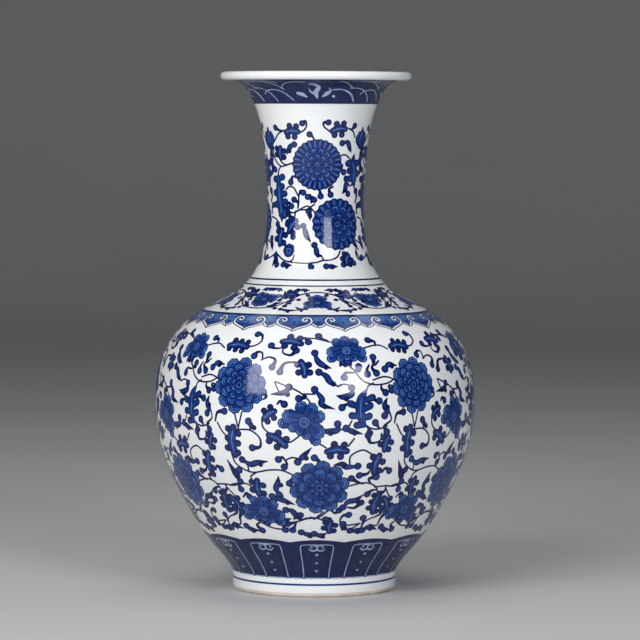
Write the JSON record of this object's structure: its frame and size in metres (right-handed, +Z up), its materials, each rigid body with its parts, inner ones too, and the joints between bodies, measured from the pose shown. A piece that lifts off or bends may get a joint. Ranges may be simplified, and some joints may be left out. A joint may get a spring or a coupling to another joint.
{
  "type": "porcelain vase",
  "caption": "Tall bottle vase with a flared mouth, slender neck, broad rounded belly and low foot, painted in underglaze cobalt blue; holds flowers or stands for display.",
  "frame": {"origin": "middle of the foot's contact plane, at the bottom of the vase", "axes": "+Z up along the vase's axis of revolution; +X to the right and -Y towards the viewer of the painted front"},
  "size_m": [0.2226, 0.2226, 0.3601],
  "materials": {
    "clear_glaze": "gloss",
    "biscuit": "matte",
    "slip": "matte"
  },
  "bodies": {
    "root": {"base_and_foot": "biscuit", "lower_body": "biscuit", "upper_body": "biscuit", "neck": "biscuit", "mouth": "biscuit", "base_slip": "slip", "waist_slip": "slip", "neck_slip": "slip", "mouth_slip": "slip", "outer_glaze": "clear_glaze", "inner_glaze": "clear_glaze", "base_glaze": "clear_glaze"}
  },
  "joints": []
}
